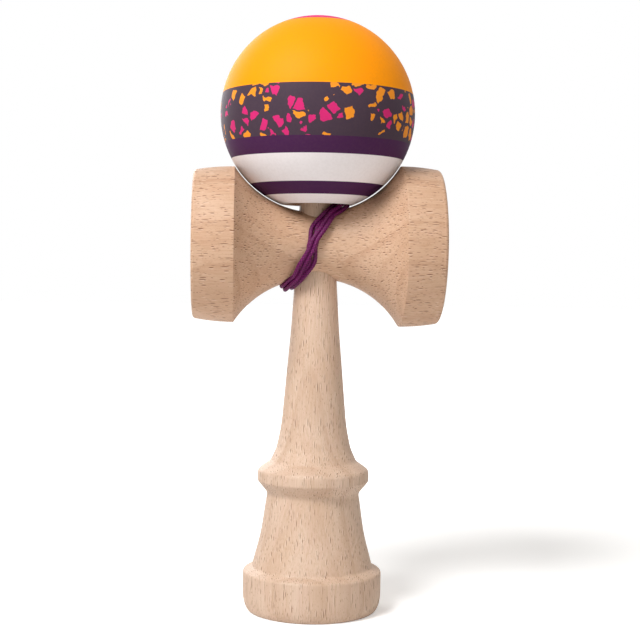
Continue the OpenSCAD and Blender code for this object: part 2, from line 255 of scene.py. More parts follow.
# The string's start: out of the handle, round a bend, and slanting up onto the waist
LEAD_Y = -2.15 * MM
LEAD_BEND_R = 3 * MM
LEAD_BEND_ANGLES = range(0, 89, 8)
LEAD_SLANT = math.radians(33)
LEAD_SIDE = LEAD_BEND_R * math.sin(LEAD_SLANT)
LEAD_UP = LEAD_BEND_R * math.cos(LEAD_SLANT)
LEAD_END_ANGLE = 355
LEAD_OUT_Y = WAIST_R + 0.5 * MM
LEAD_TOP_ANGLE = 270 + math.degrees(math.atan(LEAD_UP / (LEAD_OUT_Y + LEAD_BEND_R)))
LEAD_PROUD = math.hypot(LEAD_OUT_Y + LEAD_BEND_R, LEAD_UP) - WAIST_R - LAY_GAP - STRING_D / 2

# Rise from the winding to the ball's back, up the ball and into its top
RISE_FOOT = Vector((-9.8, 11.4, 107.8)) * MM
FOOT_STEPS = 11
LANDING_LATITUDE = -34
CLIMB_STEP = 6
CLIMB_DRIFT = 2 * MM
ENTRY_R = 3.8 * MM
ENTRY_STEP = 12
DROP_STEPS = 4
CLIMB_R = BALL_R + (STRING_D + RELIEF) / 2 + LAY_GAP
ENTRY_Z = BALL_Z + math.sqrt((CLIMB_R - ENTRY_R)**2 - ENTRY_R**2)
ENTRY_TILT = math.degrees(math.asin(ENTRY_R / (CLIMB_R - ENTRY_R)))


def climb_point(latitude):
    """A place up the ball's back, where the string drifts aside and returns."""
    a = math.radians(latitude)
    share = (latitude - LANDING_LATITUDE) / (90 - ENTRY_TILT - LANDING_LATITUDE)
    aside = CLIMB_DRIFT * math.sin(math.pi * share)
    return Vector((aside, CLIMB_R * math.cos(a), BALL_Z + CLIMB_R * math.sin(a)))


def entry_point(degrees):
    """A place on the bend into the ball's top, from its highest point down."""
    a = math.radians(degrees)
    return Vector((0, ENTRY_R - ENTRY_R * math.sin(a), ENTRY_Z + ENTRY_R * math.cos(a)))


def rise_points():
    """From the rise's foot to the ball's back, up the ball and round into its top."""
    landing = climb_point(LANDING_LATITUDE)
    foot = [RISE_FOOT.lerp(landing, i / FOOT_STEPS) for i in range(FOOT_STEPS)]
    climb_top = int(90 - ENTRY_TILT)
    climb = [climb_point(latitude) for latitude in range(LANDING_LATITUDE, climb_top, CLIMB_STEP)]
    return foot + climb + [entry_point(degrees) for degrees in range(0, 91, ENTRY_STEP)]


def through(angle, span):
    """How far an angle has come through a span of angles, from 0 to 1."""
    return ease(max(0, min(1, (angle - span[0]) / (span[1] - span[0]))))


def slant(angle):
    """Slant of the bundle at an angle from the top: steep at the ends and easy in the middle."""
    c = math.cos(math.radians(angle))
    bend = BACK_BEND if angle > 180 else FRONT_BEND
    return c * mix(abs(c) ** bend, 1, EVEN_SLANT)


def bundle_x(angle):
    """Where the bundle's middle lies along the axis, at an angle from the top."""
    s = slant(angle)
    middle = BACK_X if angle > 180 else FRONT_X
    return mix(middle, TOP_X if s > 0 else BOTTOM_X, abs(s))


def end_step(angle):
    """The step from one slot to the next, between the bottom's and the top's."""
    return mix(BOTTOM_STEP, TOP_STEP, (1 + math.cos(math.radians(angle))) / 2)


def on_waist(angle, x, height):
    """A place on the waist, by its angle from the top, its place along the axis and its layer."""
    a = math.radians(angle)
    r = waist(x) + LAY_GAP + STRING_D / 2 + height
    return Vector((x, -r * math.sin(a), CROSS_Z + r * math.cos(a)))


def front_point(turn, angle):
    """A place on a turn's front: layered at the top and bottom, side by side and crossing between."""
    upper = angle < 90
    slot = (TOP_SLOT if upper else BOTTOM_SLOT)[turn]
    layer = (TOP_LAYER if upper else BOTTOM_LAYER)[slot]
    over = CROSSES_OVER[turn]
    from_end = min(angle, 180 - angle)
    flat = through(from_end, SIDE_BY_SIDE)
    step = mix(end_step(angle), FRONT_STEP, flat)
    across = mix((slot - MID_SLOT) * step, PAIR_SIDE[turn] * PAIR_STEP[over], through(from_end, CROSSING))
    height = layer * LAYER_H * (1 - flat) + over * CROSSING_H * through(from_end, LIFTING)
    return on_waist(angle, bundle_x(angle) + across, height)


def back_point(turn, angle):
    """A place on a turn's back, going over to the next turn's slot."""
    low = BOTTOM_SLOT[turn]
    high = TOP_SLOT[turn + 1] if turn + 1 < TURNS else low
    slot = mix(low, high, ease((angle - 180) / 180))
    step = end_step(angle) + BACK_SPREAD * abs(math.sin(math.radians(angle)))
    return on_waist(angle, bundle_x(angle) + (slot - MID_SLOT) * step, BOTTOM_LAYER[low] * LAYER_H)


def lead_point(angle):
    """A place on the lead, from its bend up the back to the waist's top."""
    t = (angle - LEAD_TOP_ANGLE) / (360 - LEAD_TOP_ANGLE)
    x = mix(LEAD_SIDE, TOP_X + MID_SLOT * TOP_STEP, math.sin(QUARTER * t))
    return on_waist(angle, x, mix(LEAD_PROUD, 0, ease(t)))


def winding_route():
    """The lead out of the handle, the turns round the waist, and the way to the rise's foot."""
    step = 360 / TURN_POINTS
    route = [Vector((0, LEAD_Y, CROSS_Z)), Vector((0, LEAD_OUT_Y - LEAD_BEND_R, CROSS_Z))]
    for degrees in LEAD_BEND_ANGLES:
        a = math.radians(degrees)
        share = 1 - math.cos(a)
        out = LEAD_OUT_Y + LEAD_BEND_R * math.sin(a)
        route.append(Vector((LEAD_SIDE * share, out, CROSS_Z + LEAD_UP * share)))
    lead_steps = int((LEAD_END_ANGLE - LEAD_TOP_ANGLE) / step)
    route += [lead_point(LEAD_TOP_ANGLE + step * (i + 1)) for i in range(lead_steps)]
    for turn in range(TURNS):
        for i in range(TURN_POINTS):
            angle = i * step
            if turn == TURNS - 1 and angle >= LEAVE_ANGLE:
                break
            route.append(front_point(turn, angle) if angle <= 180 else back_point(turn, angle))
    way = (climb_point(LANDING_LATITUDE) - RISE_FOOT).normalized()
    return route + [RISE_FOOT - way * STRING_D, RISE_FOOT]


# Node helpers

def add_node(tree, kind, settings=None, **inputs):
    """A node with its settings, and its inputs set or linked by name, or by number as i0, i1 and so on."""
    node = tree.nodes.new(kind)
    for key, value in (settings or {}).items():
        setattr(node, key, value)
    for key, value in inputs.items():
        socket = node.inputs[int(key[1:])] if key[0] == "i" and key[1:].isdigit() else node.inputs[key]
        if isinstance(value, bpy.types.NodeSocket):
            tree.links.new(value, socket)
        else:
            socket.default_value = value
    return node


def math_node(tree, operation, a, b=0.0, c=0.0):
    node = add_node(tree, "ShaderNodeMath", {"operation": operation}, i0=a, i1=b, i2=c)
    return node.outputs[0]


def whole_math(tree, operation, a, b):
    node = add_node(tree, "FunctionNodeIntegerMath", {"operation": operation}, i0=a, i1=b)
    return node.outputs[0]


def new_tree(name, inputs):
    """A geometry tree with named inputs, ready to be filled; returns it, its input and its output."""
    tree = bpy.data.node_groups.new(name, "GeometryNodeTree")
    for label, kind in inputs:
        tree.interface.new_socket(label, in_out="INPUT", socket_type=kind)
    tree.interface.new_socket("Piece", in_out="OUTPUT", socket_type="NodeSocketGeometry")
    return tree, tree.nodes.new("NodeGroupInput").outputs, tree.nodes.new("NodeGroupOutput")


def finish_tree(tree, geometry, finish, group_out):
    """Ends a tree, with its geometry smooth, realized and in its finish."""
    smooth = add_node(tree, "GeometryNodeSetShadeSmooth", Geometry=geometry)
    real = add_node(tree, "GeometryNodeRealizeInstances", Geometry=smooth.outputs[0])
    dressed = add_node(tree, "GeometryNodeSetMaterial", Geometry=real.outputs[0], Material=finish)
    tree.links.new(dressed.outputs[0], group_out.inputs[0])


def grow(name, points, tree, **inputs):
    """A mesh piece that a geometry tree makes from a row of points."""
    mesh = bpy.data.meshes.new(name)
    mesh.from_pydata(points, [(i, i + 1) for i in range(len(points) - 1)], [])
    piece = bpy.data.objects.new(name, mesh)
    scene.collection.objects.link(piece)
    modifier = piece.modifiers.new("grow", "NODES")
    modifier.node_group = tree
    for item in tree.interface.items_tree:
        if item.in_out == "INPUT" and item.name in inputs:
            modifier[item.identifier] = inputs[item.name]
    settle(piece)
    return piece


def settle(piece):
    """Turns a piece's modifiers into plain mesh, facing outwards."""
    depsgraph = bpy.context.evaluated_depsgraph_get()
    mesh = bpy.data.meshes.new_from_object(piece.evaluated_get(depsgraph))
    piece.modifiers.clear()
    piece.data = mesh
    mesh.name = piece.name
    shape = bmesh.new()
    shape.from_mesh(mesh)
    bmesh.ops.recalc_face_normals(shape, faces=shape.faces)
    shape.to_mesh(mesh)
    shape.free()


# Geometry trees

def turned_piece_tree():
    """Turns an outline of radius and height round the upright axis."""
    tree, given, group_out = new_tree("turned_piece", [
        ("Outline", "NodeSocketGeometry"),
        ("Facets", "NodeSocketInt"),
        ("Finish", "NodeSocketMaterial"),
    ])
    count = add_node(tree, "GeometryNodeAttributeDomainSize", Geometry=given["Outline"])
    row = whole_math(tree, "ADD", given["Facets"], 1)
    grid = tree.nodes.new("GeometryNodeMeshGrid")
    tree.links.new(count.outputs["Point Count"], grid.inputs["Vertices X"])
    tree.links.new(row, grid.inputs["Vertices Y"])
    index = tree.nodes.new("GeometryNodeInputIndex").outputs[0]
    place = tree.nodes.new("GeometryNodeInputPosition").outputs[0]
    sample = add_node(
        tree, "GeometryNodeSampleIndex", {"data_type": "FLOAT_VECTOR"},
        Geometry=given["Outline"], Value=place, Index=whole_math(tree, "DIVIDE", index, row),
    )
    point = add_node(tree, "ShaderNodeSeparateXYZ", Vector=sample.outputs[0])
    share = math_node(tree, "DIVIDE", whole_math(tree, "MODULO", index, row), given["Facets"])
    angle = math_node(tree, "MULTIPLY", share, 2 * math.pi)
    turned = add_node(
        tree, "ShaderNodeCombineXYZ",
        X=math_node(tree, "MULTIPLY", point.outputs["X"], math_node(tree, "COSINE", angle)),
        Y=math_node(tree, "MULTIPLY", point.outputs["X"], math_node(tree, "SINE", angle)),
        Z=point.outputs["Z"],
    )
    shaped = add_node(
        tree, "GeometryNodeSetPosition", Geometry=grid.outputs["Mesh"], Position=turned.outputs[0]
    )
    merged = add_node(
        tree, "GeometryNodeMergeByDistance", Geometry=shaped.outputs[0], Distance=MERGE_GAP
    )
    finish_tree(tree, merged.outputs[0], given["Finish"], group_out)
    return tree


def braided_string_tree():
    """Lays a braided string along a route, with the picks of its braid in relief."""
    tree, given, group_out = new_tree("braided_string", [
        ("Route", "NodeSocketGeometry"),
        ("Thickness", "NodeSocketFloat"),
        ("Step", "NodeSocketFloat"),
        ("Sides", "NodeSocketInt"),
        ("Yarns", "NodeSocketFloat"),
        ("Pick", "NodeSocketFloat"),
        ("Relief", "NodeSocketFloat"),
        ("Finish", "NodeSocketMaterial"),
    ])
    route = add_node(tree, "GeometryNodeMeshToCurve", Mesh=given["Route"]).outputs[0]
    flowing = add_node(
        tree, "GeometryNodeCurveSplineType", {"spline_type": "CATMULL_ROM"}, Curve=route
    ).outputs[0]
    even = add_node(
        tree, "GeometryNodeResampleCurve", {"mode": "LENGTH"}, Curve=flowing, Length=given["Step"]
    ).outputs[0]
    along = tree.nodes.new("GeometryNodeSplineParameter")
    around = tree.nodes.new("GeometryNodeSplineParameter")
    radius = math_node(tree, "MULTIPLY", given["Thickness"], 0.5)
    ring = add_node(
        tree, "GeometryNodeCurvePrimitiveCircle", Resolution=given["Sides"], Radius=radius
    ).outputs[0]

    def keep(geometry, value):
        """Holds a value on the geometry for later nodes; returns both."""
        held = tree.nodes.new("GeometryNodeCaptureAttribute")
        held.capture_items.new("FLOAT", "kept")
        tree.links.new(geometry, held.inputs[0])
        tree.links.new(value, held.inputs[1])
        return held.outputs[0], held.outputs[1]

    even, length = keep(even, along.outputs["Length"])
    ring, share = keep(ring, around.outputs["Factor"])
    tube = tree.nodes.new("GeometryNodeCurveToMesh")
    tree.links.new(even, tube.inputs["Curve"])
    tree.links.new(ring, tube.inputs["Profile Curve"])
    tube.inputs["Fill Caps"].default_value = True

    # Each pick lies where a left and a right hand yarn cross, and the two pass over in turn
    turn = math_node(tree, "MULTIPLY", share, given["Yarns"])
    picks = math_node(tree, "DIVIDE", length, given["Pick"])
    left = math_node(tree, "ADD", turn, picks)
    right = math_node(tree, "SUBTRACT", turn, picks)
    cells = math_node(tree, "ADD", math_node(tree, "FLOOR", left), math_node(tree, "FLOOR", right))
    left_over = math_node(tree, "FLOORED_MODULO", cells, 2.0)

    def off_middle(value):
        """How far a value is from the middle of its cell, from -1 to 1."""
        part = math_node(tree, "FLOORED_MODULO", value, 1.0)
        return math_node(tree, "MULTIPLY_ADD", part, 2.0, -1.0)

    def swap(a, b):
        """The first value, or the second where the left hand yarn passes over."""
        node = add_node(tree, "ShaderNodeMix", {"data_type": "FLOAT"}, i0=left_over, i2=a, i3=b)
        return node.outputs[0]

    def hump(value, power):
        """1 in the middle, falling to 0 at both ends."""
        fall = math_node(tree, "POWER", math_node(tree, "ABSOLUTE", value), power)
        return math_node(tree, "SUBTRACT", 1.0, fall)

    crown = hump(swap(off_middle(left), off_middle(right)), 2.0)
    dip = hump(swap(off_middle(right), off_middle(left)), 3.0)
    relief = math_node(tree, "MULTIPLY", math_node(tree, "MULTIPLY", crown, dip), given["Relief"])
    lift = math_node(tree, "SUBTRACT", relief, given["Relief"])
    normal = tree.nodes.new("GeometryNodeInputNormal").outputs[0]
    offset = add_node(tree, "ShaderNodeVectorMath", {"operation": "SCALE"}, Vector=normal, Scale=lift)
    braided = add_node(
        tree, "GeometryNodeSetPosition", Geometry=tube.outputs[0], Offset=offset.outputs[0]
    ).outputs[0]

    # The straightened string's own coordinates, in millimetres, for its finish
    angle = math_node(tree, "MULTIPLY", share, 2 * math.pi)
    reach = math_node(tree, "MULTIPLY", radius, 1 / MM)
    straight = add_node(
        tree, "ShaderNodeCombineXYZ",
        X=math_node(tree, "MULTIPLY", reach, math_node(tree, "COSINE", angle)),
        Y=math_node(tree, "MULTIPLY", reach, math_node(tree, "SINE", angle)),
        Z=math_node(tree, "MULTIPLY", length, 1 / MM),
    ).outputs[0]
    named = add_node(
        tree, "GeometryNodeStoreNamedAttribute", {"data_type": "FLOAT_VECTOR"},
        Geometry=braided, Name="straight_string", Value=straight,
    ).outputs[0]
    height = math_node(tree, "DIVIDE", relief, given["Relief"])
    named = add_node(
        tree, "GeometryNodeStoreNamedAttribute", {"data_type": "FLOAT"},
        Geometry=named, Name="pick_height", Value=height,
    ).outputs[0]
    finish_tree(tree, named, given["Finish"], group_out)
    return tree


# Outlines, as rows of (radius, place along the axis)

ARC_STEP = math.radians(3)

# How far round the skin stops short of a hole's edge, in radians, to leave room for the edge's rounding
EDGE_ROOM = 0.02
BEAD_EDGE_ROOM = 0.06


def arc(centre, radius, start, end):
    """Points on an arc, from one angle to another."""
    steps = max(2, math.ceil(abs(end - start) / ARC_STEP))
    return [
        (centre[0] + radius * math.cos(mix(start, end, i / steps)),
         centre[1] + radius * math.sin(mix(start, end, i / steps)))
        for i in range(steps + 1)
    ]


def rounded_corner(before, corner, after, radius):
    """The arc that rounds one corner of an outline."""
    here = Vector(corner)
    back = (Vector(before) - here).normalized()
    ahead = (Vector(after) - here).normalized()
    opening = math.acos(max(-1, min(1, back.dot(ahead))))
    centre = here + (back + ahead).normalized() * radius / math.sin(opening / 2)
    first = here + back * radius / math.tan(opening / 2) - centre
    last = here + ahead * radius / math.tan(opening / 2) - centre
    start = math.atan2(first.y, first.x)
    sweep = (math.atan2(last.y, last.x) - start + math.pi) % (2 * math.pi) - math.pi
    return arc(centre, radius, start, start + sweep)


def rounded(corners):
    """An outline from corners of (radius, height, rounding)."""
    outline = []
    for i, (r, z, rounding) in enumerate(corners):
        if rounding == 0:
            outline.append((r, z))
        else:
            outline += rounded_corner(corners[i - 1][:2], (r, z), corners[i + 1][:2], rounding)
    return outline


def filled(outline, longest):
    """The outline with points added so that no step is longer than the given one."""
    full = [outline[0]]
    for a, b in zip(outline, outline[1:]):
        steps = max(1, math.ceil(math.dist(a, b) / longest))
        full += [(mix(a[0], b[0], i / steps), mix(a[1], b[1], i / steps)) for i in range(1, steps + 1)]
    return full


def bowl_arc(mouth_r, depth, floor_at, opens):
    """A round bowl's section from its middle to its mouth; opens is 1 up the axis and -1 down it."""
    r = (mouth_r**2 + depth**2) / (2 * depth)
    half = math.asin(mouth_r / r)
    return [
        (r * math.sin(a), floor_at + opens * r * (1 - math.cos(a)))
        for a in [half * i / BOWL_STEPS for i in range(BOWL_STEPS + 1)]
    ]


def handle_outline():
    """From the middle of the base cup, round its rim and up to the tip."""
    bowl = bowl_arc(BASE_CUP_R, BASE_CUP_DEPTH, BASE_CUP_DEPTH, -1)
    foot = [
        (BASE_R - FOOT_IN * (1 - math.sin(a)), FOOT_UP * (1 - math.cos(a)), 0)
        for a in [QUARTER * i / FOOT_POINTS for i in range(FOOT_POINTS + 1)]
    ]
    # The bowl's last points give way to the rim's rounding
    corners = [
        (*bowl[-3], 0),
        (BASE_CUP_R, 0, RIM_ROUND),
        *foot,
        (BASE_R, SHOULDER_Z, SHOULDER_ROUND),
        *[(r * MM, z * MM, rounding * MM) for r, z, rounding in BELL_AND_COLLAR],
        (GRIP_R, GRIP_Z, GRIP_BEND_R),
        (SEAT_LOW_R, CROSS_Z - SEAT_HALF, 0),
        (SEAT_HIGH_R, CROSS_Z + SEAT_HALF, 0),
        (TIP_R, HANDLE_H, TIP_ROUND),
        (0, HANDLE_H, 0),
    ]
    return filled(bowl[:-3] + rounded(corners), HANDLE_STEP)


def cup_outline(ridge_r):
    """One end of the crosspiece, from its bowl's middle to its ridge, along the axis."""
    start = math.sqrt(SADDLE_R**2 - (SADDLE_AXIS - ridge_r)**2)
    lip_at = CUP_REACH - LIP_R
    band = [
        (ridge_r - CUP_BOW + math.sqrt(CUP_BOW**2 - out**2), start + out)
        for out in [(lip_at - start) * i / BAND_STEPS for i in range(BAND_STEPS + 1)]
    ]
    lip_r = band[-1][0] - LIP_R
    bowl = bowl_arc(lip_r - LIP_R + LIP_TRIM, CUP_DEPTH, lip_at - CUP_DEPTH, 1)
    edge = arc((lip_r, lip_at), LIP_R, EDGE_START, 0)
    below = start - RIDGE_LEAD
    ridge = rounded_corner(band[1], band[0], (waist(below), below), RIDGE_ROUND)
    return bowl[:-1] + edge + band[-2:0:-1] + ridge


def crosspiece_outline():
    """From the big cup's middle to its ridge, along the saddle, and into the small cup."""
    big = cup_outline(BIG_RIDGE_R)
    small = [(r, -x) for r, x in reversed(cup_outline(SMALL_RIDGE_R))]
    near, far = big[-1][1], small[0][1]
    shares = [(1 - math.cos(math.pi * i / SADDLE_STEPS)) / 2 for i in range(1, SADDLE_STEPS)]
    saddle = [(waist(x), x) for x in [mix(near, far, share) for share in shares]]
    return filled(big + saddle + small, CROSS_STEP)


def ball_outline():
    """From the spike hole's roof up the string hole, over the ball, and up the spike hole to its roof."""
    sink_z = math.sqrt(BALL_R**2 - SINK_R**2)
    sink_floor = sink_z - SINK_DEPTH
    mouth_z = -math.sqrt(BALL_R**2 - MOUTH_R**2)
    hole_top = mouth_z + HOLE_DEPTH
    roof_top = hole_top + (HOLE_R - STRING_HOLE_R) / math.tan(DRILL_ANGLE)
    top_angle = math.atan2(sink_z, SINK_R)
    mouth_angle = math.atan2(mouth_z, MOUTH_R)
    skin = arc((0, 0), BALL_R, top_angle - EDGE_ROOM, mouth_angle + EDGE_ROOM)
    bevel_top = mouth_z + (MOUTH_R - HOLE_R) * math.tan(BEVEL_ANGLE)
    return filled(
        [(STRING_HOLE_R, roof_top), (STRING_HOLE_R, sink_floor)]
        + rounded_corner((STRING_HOLE_R, sink_floor), (SINK_R, sink_z), skin[0], SINK_ROUND)
        + skin
        + rounded_corner(skin[-1], (MOUTH_R, mouth_z), (HOLE_R, bevel_top), MOUTH_ROUND)
        + [(HOLE_R, bevel_top), (HOLE_R, hole_top), (STRING_HOLE_R, roof_top)],
        BALL_STEP,
    )


def bead_outline():
    """A bored bead, round outside with softened rims."""
    rim = math.sqrt(BEAD_R**2 - STRING_HOLE_R**2)
    rim_angle = math.atan2(rim, STRING_HOLE_R) - BEAD_EDGE_ROOM
    skin = arc((0, 0), BEAD_R, rim_angle, -rim_angle)
    top = rounded_corner((STRING_HOLE_R, 0), (STRING_HOLE_R, rim), skin[0], BEAD_ROUND)
    bottom = rounded_corner(skin[-1], (STRING_HOLE_R, -rim), (STRING_HOLE_R, 0), BEAD_ROUND)
    return filled([(STRING_HOLE_R, 0)] + top + skin + bottom + [(STRING_HOLE_R, 0)], BEAD_STEP)


# Finishes

def linear(*levels):
    """A colour from its display levels, 0 to 255."""
    return tuple(
        (v / 255 / 12.92) if v <= 10 else ((v / 255 + 0.055) / 1.055) ** 2.4 for v in levels
    ) + (1.0,)


class Finish:
    """A principled material and the nodes that feed it."""

    def __init__(self, name, **constants):
        self.material = bpy.data.materials.new(name)
        self.material.use_nodes = True
        self.tree = self.material.node_tree
        self.tree.nodes.clear()
        self.shader = self.tree.nodes.new("ShaderNodeBsdfPrincipled")
        out = self.tree.nodes.new("ShaderNodeOutputMaterial")
        self.tree.links.new(self.shader.outputs[0], out.inputs["Surface"])
        for key, value in constants.items():
            self.shader.inputs[key.replace("_", " ")].default_value = value

    def feed(self, socket, value):
        self.tree.links.new(value, self.shader.inputs[socket])

    def node(self, kind, settings=None, **inputs):
        return add_node(self.tree, kind, settings, **inputs)

    def math(self, operation, a, b=0.0, c=0.0):
        return math_node(self.tree, operation, a, b, c)

    def object_place(self, move=(0, 0, 0), turn=(0, 0, 0), scale=(1, 1, 1)):
        """The piece's own coordinates, moved, turned and scaled, as a texture space."""
        coords = self.tree.nodes.new("ShaderNodeTexCoord").outputs["Object"]
        return self.stretched(coords, move, turn, scale)

    def stretched(self, vector, move=(0, 0, 0), turn=(0, 0, 0), scale=(1, 1, 1)):
        node = self.node(
            "ShaderNodeMapping", None, Vector=vector, Location=move, Rotation=turn, Scale=scale
        )
        return node.outputs[0]

    def swayed(self, vector, sway, reach):
        """The texture space pushed about by a noise's colour, as far as the reach along each axis."""
        node = self.node(
            "ShaderNodeVectorMath", {"operation": "MULTIPLY_ADD"}, i0=sway, i1=reach, i2=vector
        )
        return node.outputs[0]

    def noise(self, vector, scale, detail=2.0, roughness=0.5):
        node = self.node(
            "ShaderNodeTexNoise", None, Vector=vector, Scale=scale, Detail=detail, Roughness=roughness
        )
        return node.outputs["Fac"], node.outputs["Color"]

    def cells(self, vector, feature="F1"):
        node = self.node("ShaderNodeTexVoronoi", {"feature": feature}, Vector=vector, Scale=1.0)
        return node.outputs

    def ramp(self, value, low, high):
        """0 below one level and 1 above another, smooth between."""
        node = self.node(
            "ShaderNodeMapRange", {"interpolation_type": "SMOOTHSTEP"}, i0=value, i1=low, i2=high
        )
        return node.outputs[0]

    def blend(self, share, a, b):
        node = self.node("ShaderNodeMix", {"data_type": "RGBA"}, i0=share, i6=a, i7=b)
        return node.outputs[2]

    def tinted(self, tone, layers):
        """A colour with others laid over it in turn, each as (share, strength, colour)."""
        for share, strength, colour in layers:
            tone = self.blend(self.math("MULTIPLY", share, strength), tone, colour)
        return tone

    def bump(self, height, distance, strength):
        node = self.node("ShaderNodeBump", None, Height=height, Distance=distance, Strength=strength)
        self.feed("Normal", node.outputs[0])


# Beech, in millimetres: the width of a year's ring, a fleck's depth in widths, and for each kind of fleck
# its cell, its least and greatest half length, its half width, and the share of cells that have one
RING_WIDTH = 5.2
FLECK_DEPTH = 3
DASH_CHANCE = 0.7
SHORT_CELL = (0.6, 0.8, 1.9)
SHORT_HALF = (0.25, 0.8)
SHORT_CHANCE = 0.6
PORE_CELL = (0.4, 0.4, 1.3)
PORE_HALF = (0.1, 0.5)
PORE_WIDTH = 0.07
PORE_CHANCE = 0.6


def flecks(finish, grain, cell, offset, chance, half_width, half_lengths):
    """Flecks along the grain: one in some of the cells, each of its own length and strength."""
    space = finish.stretched(grain, move=offset, scale=tuple(1 / side for side in cell))
    found = finish.cells(space)
    draw = finish.node("ShaderNodeSeparateColor", None, Color=found["Color"]).outputs
    away = finish.node("ShaderNodeVectorMath", {"operation": "SUBTRACT"}, i0=space, i1=found["Position"])
    off = finish.node("ShaderNodeSeparateXYZ", None, Vector=away.outputs[0]).outputs
    half_depth = FLECK_DEPTH * half_width
    half_length = finish.math("MULTIPLY_ADD", draw[1], half_lengths[1] - half_lengths[0], half_lengths[0])
    across = finish.math("MULTIPLY", off["X"], cell[0] / half_width)
    deep = finish.math("MULTIPLY", off["Y"], cell[1] / half_depth)
    along = finish.math("DIVIDE", off["Z"], finish.math("DIVIDE", half_length, cell[2]))
    squares = [finish.math("POWER", share, 2.0) for share in (across, deep, along)]
    far = finish.math("SQRT", finish.math("ADD", finish.math("ADD", *squares[:2]), squares[2]))
    inside = finish.math("SUBTRACT", 1.0, finish.ramp(far, 0.5, 1.0))
    kept = finish.math("MULTIPLY", inside, finish.math("LESS_THAN", draw[0], chance))
    return finish.math("MULTIPLY", kept, finish.math("MULTIPLY_ADD", draw[2], 0.7, 0.3))


def growth_rings(finish, grain, pith):
    """The dark late wood of each ring about a pith outside the piece, darker in some years."""
    about_pith = finish.stretched(grain, move=pith)
    out = finish.node("ShaderNodeVectorMath", {"operation": "MULTIPLY"}, i0=about_pith, i1=(1, 1, 0))
    away = finish.node("ShaderNodeVectorMath", {"operation": "LENGTH"}, i0=out.outputs[0]).outputs["Value"]
    ring = finish.math("DIVIDE", away, RING_WIDTH)
    part = finish.math("FRACT", ring)
    ends = finish.math("SUBTRACT", 1.0, finish.ramp(part, 0.95, 1.0))
    late = finish.math("MULTIPLY", finish.ramp(part, 0.45, 0.95), ends)
    number = finish.math("FLOOR", ring)
    year = finish.node("ShaderNodeTexWhiteNoise", {"noise_dimensions": "1D"}, W=number).outputs["Value"]
    return finish.math("MULTIPLY", late, finish.math("POWER", year, 2.0))


def beech(name, turn, move, pith, dash_cell, dash_half, dash_width, dash_share, stain):
    """Sanded beech whose grain runs along the turned piece."""

    def shade(*levels):
        return tuple(v * share for v, share in zip(linear(*levels), stain)) + (1.0,)

    finish = Finish(name, Specular_IOR_Level=0.3)
    place = finish.object_place(move=move, turn=turn, scale=(1 / MM, 1 / MM, 1 / MM))
    _, sway = finish.noise(finish.stretched(place, scale=(0.04, 0.04, 0.012)), 1.0)
    grain = finish.swayed(place, sway, (3, 3, 0))

    late = growth_rings(finish, grain, pith)
    fibre, _ = finish.noise(finish.stretched(grain, scale=(2.6, 2.6, 0.07)), 1.0, 3.0, 0.6)
    mottle, _ = finish.noise(finish.stretched(place, scale=(0.11, 0.11, 0.045)), 1.0, 3.0, 0.55)
    patch, _ = finish.noise(finish.stretched(place, scale=(0.4, 0.4, 0.16)), 1.0, 2.0)
    marks, _ = finish.noise(finish.stretched(place, scale=(0.05, 0.05, 3.5)), 1.0, 2.0)

    # Each dash has a painted highlight beside it, a pale copy of the dash moved a little across
    beside = (2.2 * dash_width / dash_cell[0], 0, 0)
    dash = flecks(finish, grain, dash_cell, (0, 0, 0), DASH_CHANCE, dash_width, dash_half)
    painted_highlight = flecks(finish, grain, dash_cell, beside, DASH_CHANCE, dash_width, dash_half)
    short = flecks(finish, grain, SHORT_CELL, (11, 5, 2), SHORT_CHANCE, 0.8 * dash_width, SHORT_HALF)
    pore = flecks(finish, grain, PORE_CELL, (7, 3, 1), PORE_CHANCE, PORE_WIDTH, PORE_HALF)

    tone = finish.blend(finish.ramp(mottle, 0.3, 0.7), shade(226, 189, 161), shade(217, 177, 147))
    finish.feed("Base Color", finish.tinted(tone, [
        (finish.ramp(patch, 0.4, 0.75), 0.25, shade(219, 172, 147)),
        (finish.ramp(fibre, 0.4, 0.75), 0.55, shade(198, 154, 120)),
        (late, 0.5, shade(176, 128, 94)),
        # painted highlight: a pale copy of each dash, just beside it
        (painted_highlight, 0.5 * dash_share, shade(246, 220, 196)),
        (pore, 0.5 * dash_share, shade(150, 102, 70)),
        (short, 0.8 * dash_share, shade(136, 88, 56)),
        (dash, dash_share, shade(122, 74, 44)),
    ]))
    finish.feed("Roughness", finish.math("MULTIPLY_ADD", fibre, 0.18, 0.4))

    height = finish.math("MULTIPLY_ADD", fibre, 0.5, finish.math("MULTIPLY", marks, 0.25))
    height = finish.math("SUBTRACT", height, finish.math("MAXIMUM", dash, short))
    height = finish.math("SUBTRACT", height, finish.math("MULTIPLY", pore, 0.6))
    finish.bump(height, 0.05 * MM, 0.6)
    return finish.material


# Paints of the ball
PINK = linear(214, 30, 112)
ORANGE = linear(252, 152, 0)
GREY_PURPLE = linear(68, 53, 66)
PURPLE = linear(68, 29, 71)
WHITE = linear(236, 230, 231)
CHIP_PINK = linear(206, 40, 112)
CHIP_ORANGE = linear(238, 146, 40)
WORN = linear(120, 90, 80)

# Bands of the ball, each from its top latitude down
BANDS = (
    (90, PINK),
    (67.6, ORANGE),
    (11.4, GREY_PURPLE),
    (-17.9, PURPLE),
    (-28.0, WHITE),
    (-46.7, PURPLE),
    (-57.6, WHITE),
)

# A band's soft edge and the wander of a chip's border, in millimetres, and the chips' scale and share
BAND_EDGE = 0.06
CHIP_WANDER = 1.6
CHIP_SCALE = 0.3
CHIP_CHANCE = 0.58


